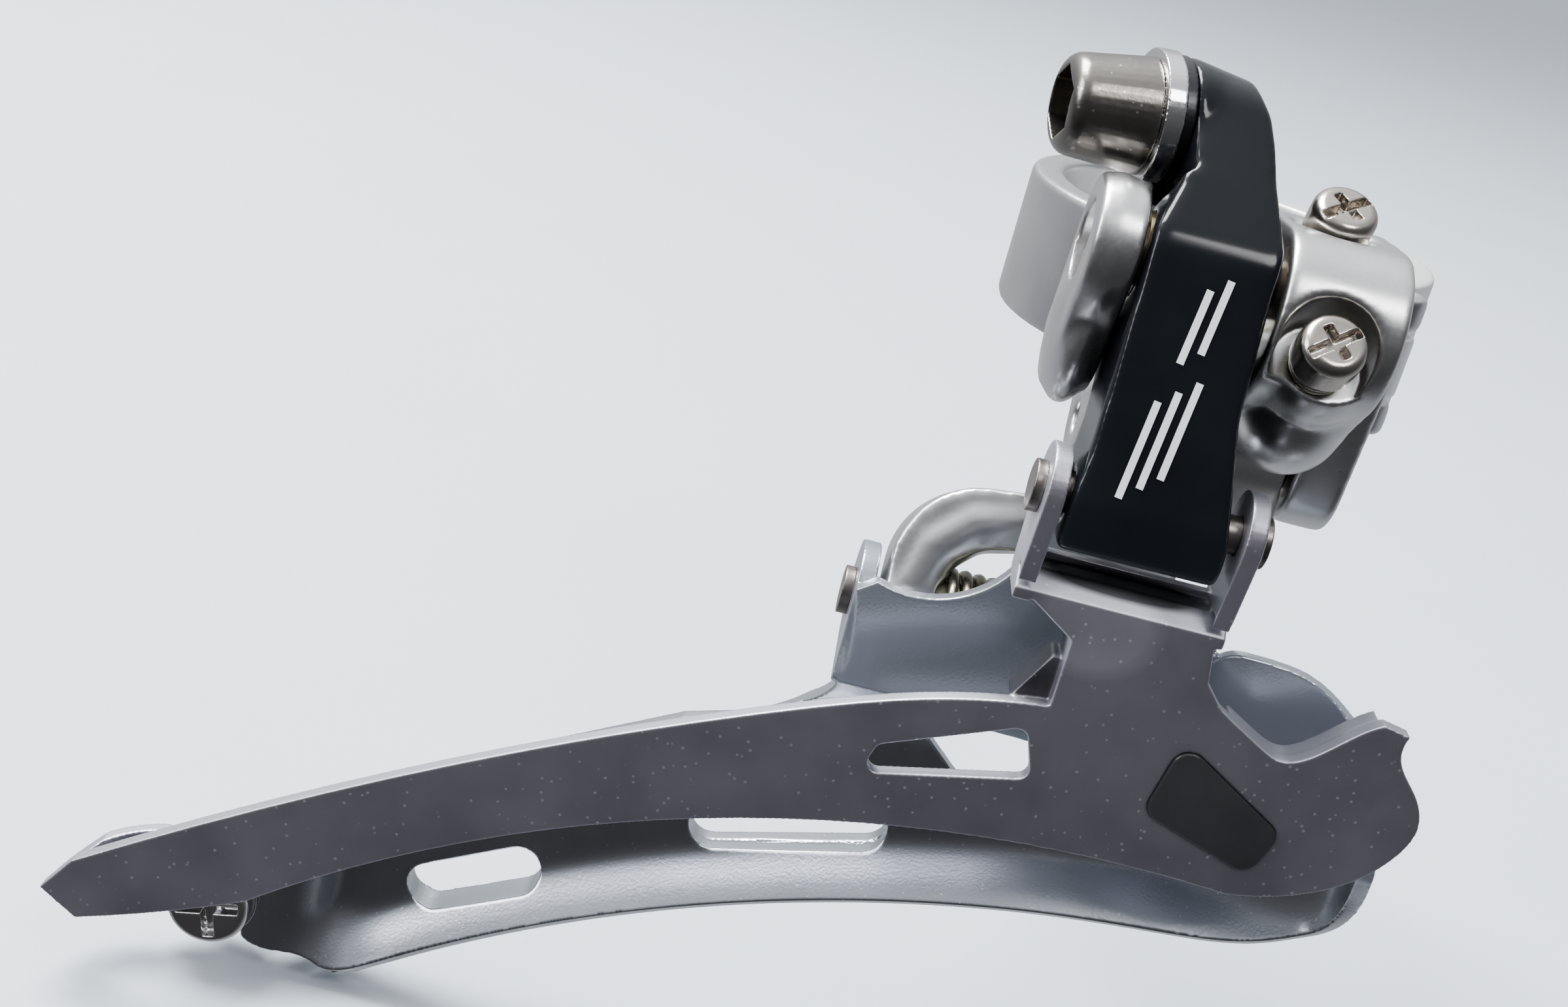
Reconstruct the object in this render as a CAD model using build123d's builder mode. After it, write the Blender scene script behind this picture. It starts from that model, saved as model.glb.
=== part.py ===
from build123d import *
from math import cos, hypot, radians, sin
import os

# Clamp-on front derailleur.
# Frame: origin at the centre of the seat-tube clamp, +X forward, +Y inboard
# (towards the bicycle's middle plane), +Z up along the seat tube.
# All sizes are millimetres.

# Driving dimensions
BORE_RADIUS = 15.9
BAND_THICKNESS = 3.0
BAND_HEIGHT = 12.5
RUN = 0.05
SHEET = 1.4

# Parallelogram pivots as (y, z); every pivot axis lies along X
LINK = (-7.0, -17.2)
OUTER_UPPER = (-37.7, 8.2)
INNER_UPPER = (-25.6, -8.6)
OUTER_LOWER = (OUTER_UPPER[0] + LINK[0], OUTER_UPPER[1] + LINK[1])
INNER_LOWER = (INNER_UPPER[0] + LINK[0], INNER_UPPER[1] + LINK[1])
LINK_LENGTH = hypot(*LINK)

# Pins
PIVOT_PIN_RADIUS = 2.4
PIN_END = -1.4
RIVET_RADIUS = 1.5
RIVET_HEAD_RADIUS = 2.0
RIVET_HEAD_HEIGHT = 0.85
OPEN_PIVOT_CLEARANCE = 0.3

# Body
CHEEK_REAR = (-17.7, -13.9)
CHEEK_FRONT = (-3.4, 6.0)
BAR_REAR = (-15.0, -12.0)
LUG_REAR = (-12.5, -9.9)
LUG_FRONT = (5.4, 9.8)
BAND_OUTER = BORE_RADIUS + BAND_THICKNESS

# Clamp: angles are measured at the bore from +X towards +Y
HINGE_ANGLE = -50.0
HINGE_PLACE_RADIUS = 19.6
KNUCKLE_RADIUS = 2.6
SPLIT_ANGLE = 104.0
SPLIT_GAP = 1.5
EAR_TOP_RADIUS = 27.2
EAR_THICKNESS = 4.2
HINGE_PIN_RADIUS = 1.2
CLAMP_BOLT_RADIUS = 2.5
CLAMP_BOLT_PLACE_RADIUS = 23.5
CLAMP_HEAD_RADIUS = 3.9
CLAMP_HEAD_HEIGHT = 3.8
CLAMP_HEX = 2.0
CLAMP_WASHER_RADIUS = 4.0
CLAMP_WASHER_THICKNESS = 0.8

# Limit screws: seat centre, tilt above the horizontal, pocket radius, head base above the seat
LIMIT_SHANK_RADIUS = 1.45
LIMIT_HEAD_RADIUS = 2.55
LIMIT_HEAD_HEIGHT = 3.0
LOW_SEAT_AT = (0.8, -41.7, 3.9)
LOW_SCREW_TILT = 43.0
LOW_POCKET_RADIUS = 3.6
LOW_HEAD_BASE = 1.6
LOW_SHANK = 12.6
HIGH_SEAT_AT = (1.0, -32.6, 11.6)
HIGH_SCREW_TILT = 58.0
HIGH_POCKET_RADIUS = 3.2
HIGH_HEAD_BASE = 0.9
HIGH_SHANK = 15.0

# Outer link
ARM = (-14.4, -2.2)
ARM_UPPER = (-13.5, -4.0)
FOOT_CORNER = (OUTER_LOWER[0] - 2.4, OUTER_LOWER[1] - 2.6)
EYE = (-31.0, 17.2)
EYE_RADIUS = 5.0
ARM_BOSS_RADIUS = 5.2
ARM_FOOT_RADIUS = 3.6

# Cable anchor: the bolt's axis is turned and tipped from the X axis
ANCHOR_YAW = 11.0
ANCHOR_PITCH = 3.0
ANCHOR_RADIUS = 2.5
ANCHOR_HEAD_RADIUS = 4.45
ANCHOR_HEAD_HEIGHT = 6.6
ANCHOR_WASHER_RADIUS = 5.15
ANCHOR_WASHER_THICKNESS = 1.5
CABLE_PLATE_THICKNESS = 0.9
KEY_SIZE = 5.0

# Inner link, drawn in its own plane: across is X, down runs from the upper to the lower pivot
LINK_BARREL = (-9.5, 5.0)
LINK_FOOT = (-24.6, -1.6)
LINK_HALF_THICKNESS = 3.3
LINK_BARREL_RADIUS = 3.9
SPRING_BAY = (-20.3, -8.2)

# Cage
OUTER_FACE_Y = -46.6
INNER_ARC_CENTRE = (13.6, -173.5)
INNER_EDGE_RADIUS = 126.6
INNER_BLADE_Y = -35.0
BRACKET_Y = -38.0
EAR_REAR = (-16.2, -14.8)
EAR_FRONT = (-1.3, 0.1)
INNER_EAR_REAR = (-26.8, -25.3)
INNER_EAR_FRONT = (-0.9, 0.6)
PAD_PROUD = 0.3
# Tail screw stack, from outboard: head, washer, outer tab, inner tongue, nut
TAIL_SCREW = (-72.3, -64.0)
TAIL_RADIUS = 2.0
TAIL_HEAD_RADIUS = 3.5
TAIL_HEAD_FACE = 40.6
TAIL_HEAD_HEIGHT = 2.0
TAIL_WASHER_RADIUS = 3.7
# Slots of the inner blade: centre, distance between its end centres, and tilt
SLOT_WIDTH = 3.9
SLOTS = (((-51.6, -58.6), 8.0, 27.5), ((-26.8, -46.5), 12.8, 15.5))

os.makedirs("parts", exist_ok=True)


def save(builder, name):
    """Label the finished piece and write it as its own STEP file."""
    builder.part.label = name
    export_step(builder.part, f"parts/{name}.step")


def rod(at, x_from, x_to, radius, mode=Mode.ADD):
    """Round bar along X through the point `at` of the YZ plane."""
    with BuildSketch(Plane.YZ.offset(x_from)) as end:
        with Locations(at):
            Circle(radius)
    extrude(end.sketch, amount=x_to - x_from, mode=mode)


def cheek(x_from, x_to, circles, mode=Mode.ADD):
    """Plate across X whose outline wraps a list of (centre, radius) circles."""
    with BuildSketch(Plane.YZ.offset(x_from)) as outline:
        with BuildSketch(mode=Mode.PRIVATE) as discs:
            for centre, radius in circles:
                with Locations(centre):
                    Circle(radius)
        make_hull(discs.sketch.edges())
    extrude(outline.sketch, amount=x_to - x_from, mode=mode)


def ring_piece(angle_from, angle_to):
    """Part of the clamp ring between two angles."""
    middle = (angle_from + angle_to) / 2
    reach = 60
    with BuildSketch(Plane.XY.offset(-BAND_HEIGHT / 2)) as section:
        with BuildLine():
            points = [(0, 0)]
            for angle in (angle_from, (angle_from + middle) / 2, middle,
                          (middle + angle_to) / 2, angle_to):
                points.append((reach * cos(radians(angle)), reach * sin(radians(angle))))
            Polyline(*points, close=True)
        make_face()
        Circle(BAND_OUTER, mode=Mode.INTERSECT)
        Circle(BORE_RADIUS, mode=Mode.SUBTRACT)
    extrude(section.sketch, amount=BAND_HEIGHT)


def polar(radius, angle):
    return radius * cos(radians(angle)), radius * sin(radians(angle))


hinge_at = polar(HINGE_PLACE_RADIUS, HINGE_ANGLE)
bolt_at = polar(CLAMP_BOLT_PLACE_RADIUS, SPLIT_ANGLE)
# The clamp bolt runs along the path that the strap's ear takes as the strap swings open;
# its plane looks out of the head
bolt_out = Vector(hinge_at[1] - bolt_at[1], bolt_at[0] - hinge_at[0], 0).normalized()
bolt_plane = Plane(origin=(*bolt_at, 0), x_dir=(0, 0, 1), z_dir=bolt_out)


def clamp_ear(side):
    """Ear beside the split: side +1 is the body's, side -1 the strap's."""
    middle = (BORE_RADIUS + 0.2 + EAR_TOP_RADIUS) / 2 - CLAMP_BOLT_PLACE_RADIUS
    with BuildSketch(bolt_plane.offset(side * SPLIT_GAP / 2)) as ear:
        with Locations((0, middle)):
            RectangleRounded(BAND_HEIGHT - 2, EAR_TOP_RADIUS - BORE_RADIUS - 0.2, 1.6)
    extrude(ear.sketch, amount=side * EAR_THICKNESS)
    # nothing of this half reaches past its own face of the split
    with BuildSketch(bolt_plane.offset(side * SPLIT_GAP / 2)) as split:
        Rectangle(BAND_HEIGHT + 2, 20)
    extrude(split.sketch, amount=-side * 6, mode=Mode.SUBTRACT)


def screw_plane(at, tilt):
    """Plane of a limit screw's seat; tilt is the outward axis above the horizontal."""
    outward = (0, -cos(radians(tilt)), sin(radians(tilt)))
    return Plane(origin=at, x_dir=(1, 0, 0), z_dir=outward)


low_seat = screw_plane(LOW_SEAT_AT, LOW_SCREW_TILT)
high_seat = screw_plane(HIGH_SEAT_AT, HIGH_SCREW_TILT)

# ---------------------------------------------------------------- body
with BuildPart() as body:
    ring_piece(SPLIT_ANGLE + 2.1, 360 + HINGE_ANGLE - 9)
    # block between the ring and the two cheeks
    with BuildSketch(Plane.YZ.offset(BAR_REAR[0] + 0.6)) as core:
        with BuildLine():
            Polyline((-16, -6), (-22, -4.2), (-31.8, -4.2), (-31.8, 1.8), (-25, 2.2),
                     (-19, 6), (-12, 6), (-12, -6), close=True)
        make_face()
    extrude(core.sketch, amount=CHEEK_FRONT[1] + 1 - BAR_REAR[0] - 0.6)
    # rear cheek: upper boss and lower lobe
    cheek(CHEEK_REAR[0], CHEEK_REAR[1], [(OUTER_UPPER, 5.2), ((-35.2, 0.6), 4.4)])
    cheek(LUG_REAR[0], LUG_REAR[1], [(INNER_UPPER, 3.9), ((-33, 0.5), 2.2), ((-21, 0), 4)])
    # bar from the rear cheek to the block; it stays low, under the swing of the anchor bolt
    with BuildSketch(Plane.YZ.offset(BAR_REAR[0])) as bar:
        with BuildLine():
            Polyline((-18, -5.0), (-30.4, -5.2), (-35.2, -1.2), (-34.2, 2.4), (-31.0, 4.0),
                     (-18, 4.4), close=True)
        make_face()
    extrude(bar.sketch, amount=BAR_REAR[1] - BAR_REAR[0])
    # front boss with the limit screws, and the front lower lug
    cheek(CHEEK_FRONT[0], CHEEK_FRONT[1], [((-37.2, 6.4), 6.6), ((-30.5, 6.0), 6.6),
                                            ((-33, 1.0), 5.0)])
    cheek(CHEEK_FRONT[0], CHEEK_FRONT[1] + 1, [((-30, 4.0), 6.0), ((-17, 0), 5.6)])
    cheek(LUG_FRONT[0], LUG_FRONT[1], [(INNER_UPPER, 4.3), ((-27, 2), 4.5), ((-18, 0), 5)])
    # mouth of the clamp, opened to the seat tube's width so that the tube can enter
    mouth_angle = (SPLIT_ANGLE + HINGE_ANGLE) / 2
    with BuildSketch(Plane.XY.offset(-20)) as tube_way:
        with Locations(Location((*polar(20, mouth_angle), 0), (0, 0, mouth_angle))):
            Rectangle(40, 2 * BORE_RADIUS)
    extrude(tube_way.sketch, amount=40, mode=Mode.SUBTRACT)
    # hinge lug of the clamp strap
    with BuildSketch(Plane.XY.offset(-BAND_HEIGHT / 2)) as lug:
        with Locations(hinge_at):
            Circle(KNUCKLE_RADIUS)
        with BuildLine():
            Polyline(hinge_at, (hinge_at[0] - 1.2, hinge_at[1] - 2.5), (6, -20.5), (8, -15.5), close=True)
        make_face()
    extrude(lug.sketch, amount=BAND_HEIGHT)
    clamp_ear(1)
    # room for the strap's knuckle between the hinge lugs
    with BuildSketch(Plane.XY.offset(-BAND_HEIGHT / 4)) as slot:
        with Locations(hinge_at):
            Circle(KNUCKLE_RADIUS + 0.45)
    extrude(slot.sketch, amount=BAND_HEIGHT / 2, mode=Mode.SUBTRACT)
    # seat-tube bore
    with BuildSketch(Plane.XY.offset(-20)) as bore:
        Circle(BORE_RADIUS)
    extrude(bore.sketch, amount=40, mode=Mode.SUBTRACT)
    # pivot holes; the upper rear one is open, the front one is a blind step
    rod(OUTER_UPPER, -20, CHEEK_REAR[1] + 1, PIVOT_PIN_RADIUS, Mode.SUBTRACT)
    rod(OUTER_UPPER, CHEEK_FRONT[0] - 1, PIN_END, RIVET_RADIUS, Mode.SUBTRACT)
    rod(INNER_UPPER, LUG_REAR[0] - 1, LUG_REAR[1] + 1, RIVET_RADIUS, Mode.SUBTRACT)
    rod(INNER_UPPER, LUG_FRONT[0] - 1, LUG_FRONT[1] - 0.8, RIVET_RADIUS, Mode.SUBTRACT)
    # room for the inner link's barrel and for the arm's boss
    rod(INNER_UPPER, LUG_REAR[1], LUG_FRONT[0], LINK_BARREL_RADIUS + 0.4, Mode.SUBTRACT)
    rod(OUTER_UPPER, CHEEK_REAR[1], CHEEK_FRONT[0], ARM_BOSS_RADIUS + 0.5, Mode.SUBTRACT)
    # hinge pin hole
    with BuildSketch(Plane.XY.offset(-20)) as pin_hole:
        with Locations(hinge_at):
            Circle(HINGE_PIN_RADIUS)
    extrude(pin_hole.sketch, amount=40, mode=Mode.SUBTRACT)
    # limit screw holes and the pocket of the low screw
    for seat, pocket in ((low_seat, LOW_POCKET_RADIUS), (high_seat, HIGH_POCKET_RADIUS)):
        with BuildSketch(seat) as mouth:
            Circle(pocket)
        extrude(mouth.sketch, amount=12, mode=Mode.SUBTRACT)
        with BuildSketch(seat) as shank_hole:
            Circle(LIMIT_SHANK_RADIUS + RUN)
        extrude(shank_hole.sketch, amount=-30, mode=Mode.SUBTRACT)
    # clamp bolt hole
    with BuildSketch(bolt_plane) as clamp_hole:
        Circle(CLAMP_BOLT_RADIUS + RUN)
    extrude(clamp_hole.sketch, amount=12, mode=Mode.SUBTRACT)
save(body, "body")

with BuildPart() as clamp_hinge_pin:
    with BuildSketch(Plane.XY.offset(-BAND_HEIGHT / 2)):
        with Locations(hinge_at):
            Circle(HINGE_PIN_RADIUS)
    extrude(amount=BAND_HEIGHT)
save(clamp_hinge_pin, "clamp_hinge_pin")

with BuildPart() as outer_upper_pin:
    rod(OUTER_UPPER, CHEEK_REAR[0] + 1.2, CHEEK_FRONT[0] - 0.1, PIVOT_PIN_RADIUS)
    rod(OUTER_UPPER, CHEEK_FRONT[0] - 0.1, PIN_END, RIVET_RADIUS)
save(outer_upper_pin, "outer_upper_pin")

with BuildPart() as inner_upper_pin:
    rod(INNER_UPPER, LUG_REAR[0] + 0.4, LUG_FRONT[1] - 0.8, RIVET_RADIUS)
save(inner_upper_pin, "inner_upper_pin")


def limit_screw(seat, head_base, shank_length):
    """Domed cross-slotted head on a straight shank; the seat plane is the pocket floor."""
    with BuildSketch(seat.offset(head_base)) as head:
        Circle(LIMIT_HEAD_RADIUS)
    extrude(head.sketch, amount=LIMIT_HEAD_HEIGHT)
    rim = seat.offset(head_base + LIMIT_HEAD_HEIGHT)
    fillet(edges().sort_by(Axis(seat.origin, seat.z_dir))[-1], 0.9)
    with BuildSketch(rim) as cross:
        with Locations(Rotation(0, 0, 38)):
            Rectangle(LIMIT_HEAD_RADIUS * 1.7, 0.75)
            Rectangle(0.75, LIMIT_HEAD_RADIUS * 1.1)
    extrude(cross.sketch, amount=-1.1, mode=Mode.SUBTRACT)
    with BuildSketch(seat.offset(head_base)) as shank:
        Circle(LIMIT_SHANK_RADIUS)
    extrude(shank.sketch, amount=-shank_length - head_base)


with BuildPart() as limit_screw_low:
    limit_screw(low_seat, LOW_HEAD_BASE, LOW_SHANK)
save(limit_screw_low, "limit_screw_low")

with BuildPart() as limit_screw_high:
    limit_screw(high_seat, HIGH_HEAD_BASE, HIGH_SHANK)
save(limit_screw_high, "limit_screw_high")

with BuildPart() as limit_screw_springs:
    for seat, head_base in ((low_seat, LOW_HEAD_BASE), (high_seat, HIGH_HEAD_BASE)):
        with BuildSketch(seat.offset(0.05)) as coil:
            Circle(2.3)
            Circle(LIMIT_SHANK_RADIUS + 0.15, mode=Mode.SUBTRACT)
        extrude(coil.sketch, amount=head_base - 0.1)
save(limit_screw_springs, "limit_screw_springs")

# ---------------------------------------------------------------- clamp strap
with BuildPart() as clamp_band:
    ring_piece(HINGE_ANGLE, SPLIT_ANGLE - 2.1)
    # the ring stops clear of the body's hinge lugs above and below the knuckle
    with BuildSketch(Plane.XY.offset(-20)) as clear:
        with Locations(hinge_at):
            Circle(KNUCKLE_RADIUS + 0.45)
    extrude(clear.sketch, amount=40, mode=Mode.SUBTRACT)
    with BuildSketch(Plane.XY.offset(-BAND_HEIGHT / 4 + 0.4)) as knuckle:
        with Locations(hinge_at):
            Circle(KNUCKLE_RADIUS)
        with BuildLine():
            Polyline((hinge_at[0] - 0.2, hinge_at[1]), polar(16.2, -37), polar(18.7, -36),
                     (hinge_at[0] + 2.5, hinge_at[1]), close=True)
        make_face()
    extrude(knuckle.sketch, amount=BAND_HEIGHT / 2 - 0.8)
    clamp_ear(-1)
    with BuildSketch(Plane.XY.offset(-20)) as strap_bore:
        Circle(BORE_RADIUS)
    extrude(strap_bore.sketch, amount=40, mode=Mode.SUBTRACT)
    with BuildSketch(Plane.XY.offset(-20)) as strap_pin_hole:
        with Locations(hinge_at):
            Circle(HINGE_PIN_RADIUS + RUN)
    extrude(strap_pin_hole.sketch, amount=40, mode=Mode.SUBTRACT)
    # the ear's thread is drawn as a plain hole with air round the bolt
    with BuildSketch(bolt_plane) as strap_hole:
        Circle(CLAMP_BOLT_RADIUS + 0.35)
    extrude(strap_hole.sketch, amount=-12, mode=Mode.SUBTRACT)
save(clamp_band, "clamp_band")

ear_face = SPLIT_GAP / 2 + EAR_THICKNESS

with BuildPart() as clamp_bolt:
    with BuildSketch(bolt_plane.offset(ear_face + CLAMP_WASHER_THICKNESS)):
        Circle(CLAMP_HEAD_RADIUS)
    extrude(amount=CLAMP_HEAD_HEIGHT)
    top_face = bolt_plane.offset(ear_face + CLAMP_WASHER_THICKNESS + CLAMP_HEAD_HEIGHT)
    with BuildSketch(top_face):
        RegularPolygon(CLAMP_HEX, 6, major_radius=False)
    extrude(amount=-2.4, mode=Mode.SUBTRACT)
    with BuildSketch(bolt_plane.offset(ear_face + CLAMP_WASHER_THICKNESS)):
        Circle(CLAMP_BOLT_RADIUS)
    extrude(amount=-(ear_face + CLAMP_WASHER_THICKNESS + SPLIT_GAP / 2 + 3.6))
save(clamp_bolt, "clamp_bolt")

with BuildPart() as clamp_washer:
    with BuildSketch(bolt_plane.offset(ear_face)):
        Circle(CLAMP_WASHER_RADIUS)
        Circle(CLAMP_BOLT_RADIUS + RUN, mode=Mode.SUBTRACT)
    extrude(amount=CLAMP_WASHER_THICKNESS)
save(clamp_washer, "clamp_washer")

# ---------------------------------------------------------------- outer link and cable anchor
anchor_out = (-cos(radians(ANCHOR_YAW)) * cos(radians(ANCHOR_PITCH)),
              -sin(radians(ANCHOR_YAW)) * cos(radians(ANCHOR_PITCH)),
              -sin(radians(ANCHOR_PITCH)))
anchor_plane = Plane(origin=(-12.9, EYE[0], EYE[1]), x_dir=(0, 0, 1), z_dir=anchor_out)

with BuildPart() as outer_link:
    # flat-fronted shank from the foot to the upper pivot, then the lever to the cable eye
    cheek(ARM[0], ARM[1], [(FOOT_CORNER, 0.9), (OUTER_LOWER, ARM_FOOT_RADIUS),
                           (OUTER_UPPER, ARM_BOSS_RADIUS)])
    cheek(ARM[0], ARM[1], [(OUTER_UPPER, ARM_BOSS_RADIUS), (EYE, 4.3)])
    # its outline from outboard: straight tapering sides and a rounded shoulder
    with BuildSketch(Plane.XZ.offset(70)) as front:
        with BuildLine():
            Polyline((-12.3, 23.2), (-12.3, 14.2), (-13.5, 11.2), (-13.6, 6.0), (-13.9, -4.6),
                     (-14.4, -8.0), (-14.4, -16), (-2.2, -16), (-2.2, -10.0), (-3.3, -4.0),
                     (-4.0, -0.3), (-4.0, 8.8), (-3.8, 11.2), (-4.6, 13.6), (-5.3, 15.6))
            Spline((-5.3, 15.6), (-6.4, 19.6), (-9.2, 22.4), (-12.3, 23.2),
                   tangents=[(0, 1), (-1, 0.1)])
        make_face()
    extrude(front.sketch, amount=-60, mode=Mode.INTERSECT)
    with BuildSketch(anchor_plane) as eye_disc:
        Circle(EYE_RADIUS)
    extrude(eye_disc.sketch, amount=-7.0, taper=12)
    # flat face of the eye for the cable plate
    with BuildSketch(anchor_plane) as eye_face:
        Circle(7.5)
    extrude(eye_face.sketch, amount=6, mode=Mode.SUBTRACT)
    rod(OUTER_UPPER, -20, 5, PIVOT_PIN_RADIUS + 0.8, Mode.SUBTRACT)
    rod(OUTER_LOWER, -20, 5, RIVET_RADIUS + RUN, Mode.SUBTRACT)
    with BuildSketch(anchor_plane) as anchor_hole:
        Circle(ANCHOR_RADIUS + RUN)
    extrude(anchor_hole.sketch, amount=-5.6, mode=Mode.SUBTRACT)
save(outer_link, "outer_link")

with BuildPart() as outer_link_bushes:
    for x_from, x_to in ((ARM_UPPER[0], -10.2), (-7.2, ARM_UPPER[1])):
        rod(OUTER_UPPER, x_from, x_to, PIVOT_PIN_RADIUS + 0.8)
        rod(OUTER_UPPER, x_from, x_to, PIVOT_PIN_RADIUS + RUN, Mode.SUBTRACT)
save(outer_link_bushes, "outer_link_bushes")

with BuildPart() as cable_plate:
    with BuildSketch(anchor_plane):
        Circle(4.9)
        with Locations((-4.6, 0.5)):
            RectangleRounded(3.6, 5.0, 1.2)
        Circle(ANCHOR_RADIUS + RUN, mode=Mode.SUBTRACT)
    extrude(amount=CABLE_PLATE_THICKNESS)
save(cable_plate, "cable_plate")

with BuildPart() as anchor_washer:
    with BuildSketch(anchor_plane.offset(CABLE_PLATE_THICKNESS)):
        Circle(ANCHOR_WASHER_RADIUS)
        Circle(ANCHOR_RADIUS + RUN, mode=Mode.SUBTRACT)
    extrude(amount=ANCHOR_WASHER_THICKNESS)
save(anchor_washer, "anchor_washer")

head_plane = anchor_plane.offset(CABLE_PLATE_THICKNESS + ANCHOR_WASHER_THICKNESS)
with BuildPart() as anchor_bolt:
    with BuildSketch(head_plane):
        Circle(ANCHOR_HEAD_RADIUS)
    extrude(amount=ANCHOR_HEAD_HEIGHT, taper=6)
    fillet(edges().sort_by(Axis(anchor_plane.origin, anchor_plane.z_dir))[-1], 1.3)
    with BuildSketch(head_plane.offset(ANCHOR_HEAD_HEIGHT)):
        RegularPolygon(KEY_SIZE / 2, 6, major_radius=False)
    extrude(amount=-3.4, mode=Mode.SUBTRACT)
    with BuildSketch(head_plane):
        Circle(ANCHOR_RADIUS)
    extrude(amount=-7.6)
save(anchor_bolt, "anchor_bolt")

# ---------------------------------------------------------------- inner link
link_down = Vector(0, LINK[0], LINK[1]).normalized()
link_plane = Plane(origin=(0, *INNER_UPPER), x_dir=(1, 0, 0),
                   z_dir=Vector(1, 0, 0).cross(link_down))

with BuildPart() as inner_link:
    with BuildSketch(link_plane) as arch:
        with BuildLine():
            start = (LINK_BARREL[0], 0)
            Polyline(start, (LINK_BARREL[1], 0), (LINK_BARREL[1], 5.0), (LINK_FOOT[1], 9.5),
                     (LINK_FOOT[1], LINK_LENGTH), (LINK_FOOT[0], LINK_LENGTH),
                     (LINK_FOOT[0], 15.6))
            ThreePointArc((LINK_FOOT[0], 15.6), (-22.9, 10.4), (-18.5, 7.8))
            Line((-18.5, 7.8), (LINK_BARREL[0], 6.8))
            Line((LINK_BARREL[0], 6.8), start)
        make_face()
    extrude(arch.sketch, amount=LINK_HALF_THICKNESS, both=True)
    rod(INNER_UPPER, LINK_BARREL[0], LINK_BARREL[1], LINK_BARREL_RADIUS)
    rod(INNER_LOWER, LINK_FOOT[0], LINK_FOOT[1], LINK_BARREL_RADIUS - 0.2)
    # bay of the return spring, with an arched roof
    with BuildSketch(link_plane) as bay:
        with BuildLine():
            Polyline((SPRING_BAY[0], 15.0), (SPRING_BAY[0], LINK_LENGTH + 6),
                     (SPRING_BAY[1], LINK_LENGTH + 6), (SPRING_BAY[1], 15.0))
            ThreePointArc((SPRING_BAY[1], 15.0), ((SPRING_BAY[0] + SPRING_BAY[1]) / 2, 12.2),
                          (SPRING_BAY[0], 15.0))
        make_face()
    extrude(bay.sketch, amount=8, both=True, mode=Mode.SUBTRACT)
    rod(INNER_UPPER, -20, 12, RIVET_RADIUS + 0.7, Mode.SUBTRACT)
    rod(INNER_LOWER, -30, 5, RIVET_RADIUS + OPEN_PIVOT_CLEARANCE, Mode.SUBTRACT)
save(inner_link, "inner_link")

with BuildPart() as inner_link_bushes:
    for x_from, x_to in ((LINK_BARREL[0], -5.5), (1.0, LINK_BARREL[1])):
        rod(INNER_UPPER, x_from, x_to, RIVET_RADIUS + 0.7)
        rod(INNER_UPPER, x_from, x_to, RIVET_RADIUS + RUN, Mode.SUBTRACT)
save(inner_link_bushes, "inner_link_bushes")

with BuildPart() as spring_sleeve:
    rod(INNER_LOWER, SPRING_BAY[0] + 0.1, SPRING_BAY[1] - 0.1, 2.7)
    rod(INNER_LOWER, SPRING_BAY[0] + 0.1, SPRING_BAY[1] - 0.1, RIVET_RADIUS + OPEN_PIVOT_CLEARANCE,
        Mode.SUBTRACT)
save(spring_sleeve, "spring_sleeve")

with BuildPart() as return_spring:
    rod(INNER_LOWER, SPRING_BAY[0] + 0.6, SPRING_BAY[1] - 0.6, 4.0)
    rod(INNER_LOWER, SPRING_BAY[0] + 0.6, SPRING_BAY[1] - 0.6, 2.8, Mode.SUBTRACT)
save(return_spring, "return_spring")

# ---------------------------------------------------------------- cage
face_plane = Plane.XZ.offset(-OUTER_FACE_Y)


def pad_outline(plane):
    """Four-cornered outline shared by the moulded pad and its hole in the outer plate."""
    with BuildSketch(plane) as outline:
        with BuildLine():
            FilletPolyline((-1.6, -31.9), (-0.3, -25.2), (9.2, -30.9), (7.8, -35.0), radius=1.4,
                           close=True)
        make_face()
    return outline.sketch


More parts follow.
